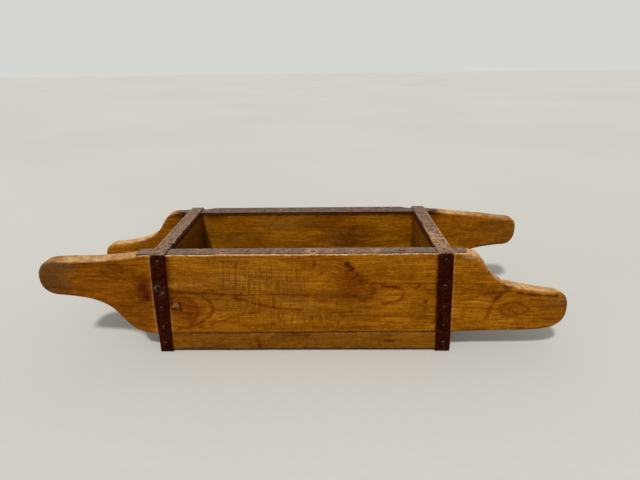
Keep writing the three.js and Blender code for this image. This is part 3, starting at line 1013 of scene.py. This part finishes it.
def nail_points(random, width, length, facing_up):
    """A nail pointing down from the underside of its head, in rings of NAIL_SIDES points."""
    radius = width / 2 * random.uniform(0.88, 1.04)
    height = (LOW_HEAD if facing_up else TALL_HEAD) * random.uniform(0.85, 1.1)
    head = head_profile(radius, height, facing_up) + [(0.97 * radius, -0.28)]
    shank = [(1.0, -0.3), (1.0, 4 - length), (0.62, 2.2 - length), (0.15, 0.4 - length)]
    turns = np.linspace(0, 2 * math.pi, NAIL_SIDES, endpoint=False)
    way = np.stack([np.cos(turns), np.sin(turns)], axis=1)
    lobed = out_of_round(turns, random)
    square = 1 / np.abs(way).max(axis=1) ** 0.6
    shapes = [(r * lobed, z) for r, z in head] + [(r * square, z) for r, z in shank]
    points = np.concatenate([np.column_stack([r[:, None] * way, np.full(NAIL_SIDES, z)]) for r, z in shapes])
    tilt = Matrix.Rotation(math.radians(random.uniform(-5, 5)), 3, "X")
    tilted = (len(head) + 1) * NAIL_SIDES
    points[:tilted] = points[:tilted] @ np.array(tilt)
    top = points[:, 2] > -0.5
    points[top, 2] += 0.09 * noise(points[top] + random.uniform(0, 90), 1.3, 7)
    return points


def nail(node, random):
    """A wrought nail: a hammered head, a little out of round and tilted, on a pointed square shank."""
    head, facing, length, width = nail_place(node)
    facing_up = facing[Z] > 0.5
    points = nail_points(random, width, length, facing_up)
    turn = np.array(Vector((0, 0, 1)).rotation_difference(Vector(facing)).to_matrix())
    placed = points @ turn.T + head - facing * HEAD_SEAT
    name = node.replace("_band_", "_hoop_").replace("_rim_", "_strap_")
    obj = add_mesh(name, placed, tube_faces(len(points) // NAIL_SIDES, NAIL_SIDES))
    rust = random.uniform(0, 1) ** 2
    if not facing_up:
        rust *= 0.15
    elif head[Y] > 0:
        rust *= 0.35
    count = len(placed)
    pits = smooth(0.3, 0.8, noise(placed, 1.2, 5))
    set_paint(obj, "paint", np.full(count, rust), pits, np.full(count, random.uniform(0.2, 0.8)))
    finish_piece(obj, IRONS["rim" if facing_up else "nail"], node)


def nails():
    random = np.random.RandomState(11)
    for node in sorted(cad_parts):
        if "_nail_" in node:
            nail(node, random)


# ---- Materials

FLOOR_LOW = (0.43, 0.41, 0.38)
FLOOR_HIGH = (0.47, 0.45, 0.42)
WORN = (0.61, 0.35, 0.15)
SCUFFED = (0.155, 0.078, 0.018)
GREYED = (0.150, 0.090, 0.038)
STAIN_AND_SHADE = (0.62, 0.48, 0.25)
# The next three colours darken the wood for stains and dirt, and also for painted shade and painted shadow.
WARM_STAIN_AND_SHADOW = (0.60, 0.42, 0.18)
DIRT_AND_SHADE = (0.022, 0.005, 0.0004)
RUST = (0.44, 0.24, 0.13)


class Tree:
    """Short calls for one material's nodes. Most of them return the output to link on."""

    def __init__(self, name):
        self.material = bpy.data.materials.new(name)
        self.material.use_nodes = True
        self.nodes = self.material.node_tree.nodes
        self.links = self.material.node_tree.links
        self.shader = self.nodes["Principled BSDF"]

    def give(self, socket, value):
        if isinstance(value, bpy.types.NodeSocket):
            self.links.new(value, socket)
        else:
            socket.default_value = value

    def node(self, kind, *values, **settings):
        """A new node with these settings, and these numbers or links on its first inputs."""
        node = self.nodes.new("ShaderNode" + kind)
        for name, value in settings.items():
            setattr(node, name, value)
        for socket, value in zip(node.inputs, values):
            self.give(socket, value)
        return node

    def math(self, operation, a, b=0.0, clamp=False):
        return self.node("Math", a, b, operation=operation, use_clamp=clamp).outputs[0]

    def add(self, a, b):
        return self.math("ADD", a, b)

    def times(self, value, *others, clamp=False):
        for other in others:
            value = self.math("MULTIPLY", value, other, clamp)
        return value

    def total(self, base, *parts):
        """base and the sum of the parts, each (value, weight)."""
        for value, weight in parts:
            base = self.add(base, self.times(value, weight))
        return base

    def layer(self, name):
        """The three numbers that a mesh keeps for each of its points."""
        vector = self.node("Attribute", attribute_name=name).outputs["Vector"]
        return tuple(self.node("SeparateXYZ", vector).outputs)

    def combine(self, x, y, z):
        return self.node("CombineXYZ", x, y, z).outputs[0]

    def place(self, size):
        """Where a point is on the object, in units of size millimetres."""
        place = self.node("TexCoord").outputs["Object"]
        node = self.node("VectorMath", place, operation="SCALE")
        node.inputs["Scale"].default_value = 1 / (size * MM)
        return node.outputs[0]

    def upward(self):
        """How far a surface faces up, from -1 to 1."""
        normal = self.node("NewGeometry").outputs["Normal"]
        return self.node("SeparateXYZ", normal).outputs[2]

    def noise(self, vector, detail=3.0, roughness=0.55):
        node = self.node("TexNoise", vector)
        node.inputs["Scale"].default_value = 1.0
        node.inputs["Detail"].default_value = detail
        node.inputs["Roughness"].default_value = roughness
        return node.outputs["Fac"]

    def between(self, value, low, high, to_low=0.0, to_high=1.0):
        """value from low to high becomes to_low to to_high, with smooth ends."""
        node = self.node("MapRange", value, low, high, to_low, to_high, interpolation_type="SMOOTHSTEP")
        return node.outputs[0]

    def ramp(self, value, *stops):
        """A colour by value, from stops of (place, colour)."""
        node = self.node("ValToRGB", value)
        elements = node.color_ramp.elements
        for number, (where, colour) in enumerate(stops):
            element = elements[number] if number < 2 else elements.new(where)
            element.position = where
            element.color = (*colour, 1)
        return node.outputs[0]

    def mix(self, share, a, b, blend="MIX"):
        node = self.node("Mix", share, data_type="RGBA", blend_type=blend)
        for number, colour in ((6, a), (7, b)):
            linked = isinstance(colour, bpy.types.NodeSocket)
            self.give(node.inputs[number], colour if linked else (*colour, 1))
        return node.outputs[2]

    def bump(self, height, depth, strength):
        node = self.node("Bump")
        node.inputs["Strength"].default_value = strength
        node.inputs["Distance"].default_value = depth * MM
        self.links.new(height, node.inputs["Height"])
        self.links.new(node.outputs[0], self.shader.inputs["Normal"])

    def finish(self, colour, roughness, specular):
        self.links.new(colour, self.shader.inputs["Base Color"])
        self.links.new(roughness, self.shader.inputs["Roughness"])
        self.shader.inputs["Specular IOR Level"].default_value = specular
        return self.material


def shade(colour, share):
    return tuple(share * channel for channel in colour)


def blend(a, b, share):
    return tuple((1 - share) * x + share * y for x, y in zip(a, b))


def wood(name, dark, middle, light, ring_gap, seed):
    """Old oiled wood: rings and fibres that follow the grain, pores, patches, scuffs, and the wear and dirt
    set on its points, with painted shade and painted highlight among them.
    """
    tree = Tree(name)
    along, across, ring = tree.layer("wood")
    wear, grime_and_shade, haze = tree.layer("paint")
    cuts, grey, warm_stain_and_shadow = tree.layer("age")

    def field(length, width, detail, shift, roughness=0.55):
        """Noise in marks of about that length along the grain and width across it, in millimetres."""
        begin = tree.add(tree.times(along, 1 / length), seed + shift)
        vector = tree.combine(begin, tree.times(across, 1 / width), seed + 2 * shift)
        return tree.noise(vector, detail, roughness)

    fibre = field(26, 1.2, 2, 0, 0.6)
    thread = field(55, 2.4, 3, 17, 0.65)
    streak = field(105, 8, 3, 7)
    patch = field(70, 30, 2, 3)
    wander = field(90, 16, 2, 11)
    lines = tree.between(field(46, 1.7, 2, 29), 0.60, 0.70)
    pale_lines = tree.between(field(26, 1.5, 2, 37), 0.60, 0.72)
    pores = tree.between(field(6.5, 1.1, 1, 5), 0.62, 0.74)
    hatch = field(1.9, 17, 2, 23)
    mottle = tree.noise(tree.place(5.5), 4.0, 0.65)
    fleck = tree.noise(tree.place(1.5), 3.0, 0.6)
    saw = tree.math("FRACT", tree.total(0, (ring, 1 / ring_gap), (wander, 0.8)))
    late = tree.times(tree.between(saw, 0.55, 0.93), tree.between(saw, 1.0, 0.95))
    late = tree.times(late, tree.between(wander, 0.42, 0.62, 0.1, 1.0))

    weights = [(fibre, 0.75), (thread, 0.45), (streak, 0.45), (patch, 0.6), (mottle, 0.5), (fleck, 0.6)]
    level = 0.53 - sum(pair[1] for pair in weights) / 2
    tone = tree.total(level, *weights, (late, -0.12))
    colour = tree.ramp(tone, (0.15, dark), (0.85, light), (0.5, middle))
    colour = tree.mix(tree.times(tree.math("MAXIMUM", pores, lines), 0.45), colour, dark)
    colour = tree.mix(tree.times(pale_lines, 0.35), colour, light)
    patchy = tree.between(tree.total(mottle, (fleck, 0.4)), 0.5, 0.95, 0.25, 1.0)
    colour = tree.mix(tree.times(haze, patchy, 0.6), colour, SCUFFED)
    colour = tree.mix(tree.times(tree.between(hatch, 0.52, 0.66), cuts, 0.6), colour, dark)
    colour = tree.mix(tree.times(tree.between(hatch, 0.48, 0.34), cuts, 0.4), colour, light)
    ashen = tree.ramp(fleck, (0.38, shade(GREYED, 0.5)), (0.62, GREYED))
    colour = tree.mix(tree.times(grey, patchy, 1.1, clamp=True), colour, ashen)
    colour = tree.mix(warm_stain_and_shadow, colour, WARM_STAIN_AND_SHADOW, "MULTIPLY")
    # The dirt amount is real dirt and stains and also painted shade: under handles, in the box's corners,
    # under the iron, beside the legs and under the base.
    dirt_and_shade = tree.times(grime_and_shade, tree.between(tree.total(mottle, (fibre, 0.6)), 0.5, 1.0, 1.1, 0.8))
    colour = tree.mix(tree.times(dirt_and_shade, 1.4, clamp=True), colour, STAIN_AND_SHADE, "MULTIPLY")
    colour = tree.mix(tree.times(tree.between(dirt_and_shade, 0.4, 1.0), 0.9), colour, DIRT_AND_SHADE)
    # Wear is rubbed bare wood, and on the side boards' handle edges and shoulder it is also a painted
    # highlight.
    bare = tree.times(wear, tree.between(tree.total(streak, (mottle, 0.7)), 0.45, 0.95, 0.5, 1.0))
    bare = tree.math("MINIMUM", bare, 1.0)
    blotch = tree.total(0, (mottle, 0.6), (fleck, 0.5))
    pale = tree.ramp(blotch, (0.42, shade(WORN, 0.45)), (0.68, WORN))
    colour = tree.mix(bare, colour, pale)

    sawn = tree.times(hatch, cuts)
    parts = [(fibre, 0.6), (thread, 0.5), (pores, -0.5), (lines, -0.4), (mottle, 0.3), (sawn, -0.9)]
    tree.bump(tree.total(0, *parts), 0.4, 0.85)
    rough = tree.total(tree.between(mottle, 0.3, 0.7, 0.46, 0.62), (bare, 0.18))
    return tree.finish(colour, rough, 0.03)


def iron(name, dark, middle, low, pale, specular, facing):
    """Old hoop iron: mottled and pitted scale from dark to middle; rubbed, dusty and lightened as a painted
    highlight, from low to pale, where it faces up more than facing; and tan rust."""
    tree = Tree(name)
    rusty, pits, worn = tree.layer("paint")
    blotch = tree.noise(tree.place(6), 4.0, 0.62)
    grit = tree.noise(tree.place(1.4), 3.0, 0.6)
    dust = tree.noise(tree.place(0.5), 2.0, 0.6)
    # Faces turned up take the dusty colours, lightened as a painted highlight from above.
    up = tree.between(tree.upward(), facing, facing + 0.6)
    tone = tree.total(-0.25, (blotch, 0.45), (grit, 0.9), (dust, 0.5), (worn, 0.1))
    scale = tree.ramp(tone, (0.50, dark), (0.95, middle), (0.72, blend(dark, middle, 0.4)))
    dusty_lit_top = tree.ramp(tone, (0.52, low), (0.94, pale), (0.72, blend(low, pale, 0.33)))
    colour = tree.mix(up, scale, dusty_lit_top)
    tan = tree.times(rusty, tree.between(tree.add(grit, blotch), 0.82, 1.15))
    tan = tree.times(tan, tree.between(up, 0, 1, 0.75, 1.0))
    colour = tree.mix(tree.times(tan, 0.85), colour, RUST)
    # The pits amount also carries the rims' painted shadow line along their outer edge.
    colour = tree.mix(tree.times(pits, 0.6), colour, tree.mix(up, dark, shade(low, 0.6)))
    tree.bump(tree.total(0, (blotch, 0.5), (grit, 0.5), (dust, 0.2)), 0.22, 0.9)
    rough = tree.total(tree.between(blotch, 0.3, 0.7, 0.42, 0.62), (tan, 0.2))
    return tree.finish(colour, rough, specular)


def floor_material():
    tree = Tree("pale_floor")
    cloud = tree.noise(tree.place(900), 3.0, 0.5)
    grain = tree.noise(tree.place(6), 3.0, 0.5)
    tone = tree.total(0, (cloud, 0.7), (grain, 0.3))
    colour = tree.ramp(tone, (0.3, FLOOR_LOW), (0.7, FLOOR_HIGH))
    tree.bump(grain, 0.1, 0.3)
    return tree.finish(colour, tree.between(grain, 0.3, 0.7, 0.7, 0.8), 0.2)


WOOD = {
    "side": wood("side_wood", (0.075, 0.019, 0), (0.187, 0.06, 0.0002), (0.36, 0.138, 0.004), 5, 0),
    "end": wood("end_wood", (0.07, 0.017, 0), (0.165, 0.05, 0.0002), (0.3, 0.108, 0.003), 5.2, 30),
    "base": wood("base_wood", (0.075, 0.023, 0), (0.17, 0.06, 0.0006), (0.29, 0.115, 0.005), 5, 60),
}
# low and pale are the colours of faces turned up: dust, and a painted highlight from above; on the nails a
# painted glint on the head's upper rim.
IRONS = {
    "rim": iron(
        "rim_iron", (0.015, 0.006, 0.004), (0.055, 0.028, 0.02),
        (0.05, 0.032, 0.029), (0.33, 0.195, 0.12), 0.1, 0.15,
    ),
    "band": iron(
        "band_iron", (0.0035, 0.0004, 0), (0.054, 0.0062, 0.0005),
        (0.042, 0.027, 0.022), (0.43, 0.26, 0.16), 0.02, 0.4,
    ),
    "nail": iron(
        "nail_iron", (0.003, 0.0004, 0.0001), (0.026, 0.004, 0.001),
        (0.04, 0.018, 0.01), (0.42, 0.26, 0.17), 0.05, 0.6,
    ),
}


# ---- Stage, light and camera

FLOOR_REACH = 12


def floor():
    reach = FLOOR_REACH
    mesh = bpy.data.meshes.new("floor")
    corners = [(-reach, -reach, 0), (reach, -reach, 0), (reach, reach, 0), (-reach, reach, 0)]
    mesh.from_pydata(corners, [], [(0, 1, 2, 3)])
    mesh.materials.append(floor_material())
    add_object("floor", mesh)


def sky():
    world = bpy.data.worlds.new("studio")
    bpy.context.scene.world = world
    world.use_nodes = True
    background = world.node_tree.nodes["Background"]
    background.inputs["Color"].default_value = (0.665, 0.680, 0.645, 1)
    background.inputs["Strength"].default_value = 1.0


KEY_PLACE = (-0.28, -0.95, 1.35)
KEY_POWER = 3.0
KEY_BREADTH = 6


def key_light():
    """A sun shining from the way of its place, and as broad as that many degrees."""
    light = bpy.data.lights.new("key", "SUN")
    light.energy, light.angle = KEY_POWER, math.radians(KEY_BREADTH)
    obj = add_object("key", light)
    obj.location = KEY_PLACE
    obj.rotation_euler = (-obj.location).to_track_quat("-Z", "Y").to_euler()


CAMERA_PLACE = Vector((26.33, -498.36, 276.78)) * MM
CAMERA_TURN = 1.098
CAMERA_TILT = 20.356
CAMERA_ROLL = -0.758
CAMERA_LENS = 27.056


def camera():
    data = bpy.data.cameras.new("camera")
    data.sensor_width, data.lens = 36.0, CAMERA_LENS
    data.clip_start, data.clip_end = 0.01, 100
    obj = add_object("camera", data)
    turn = Matrix.Rotation(math.radians(CAMERA_TURN), 4, "Z")
    tilt = Matrix.Rotation(math.radians(90 - CAMERA_TILT), 4, "X")
    roll = Matrix.Rotation(math.radians(CAMERA_ROLL), 4, "Z")
    obj.matrix_world = Matrix.Translation(CAMERA_PLACE) @ turn @ tilt @ roll
    bpy.context.scene.camera = obj


camera()
front_board()
back_board()
end_board(-1, "left", 101)
end_board(1, "right", 111)
base_board()
rim_strap("front_rim_strap", "front_strap", "square", "round", 201)
rim_strap("back_rim_strap", "back_strap", "tapered", "tapered", 221)
band("left_band", "left_hoop", -1, 241)
band("right_band", "right_hoop", 1, 261)
nails()
floor()
sky()
key_light()
bpy.context.scene.view_settings.view_transform = "Standard"
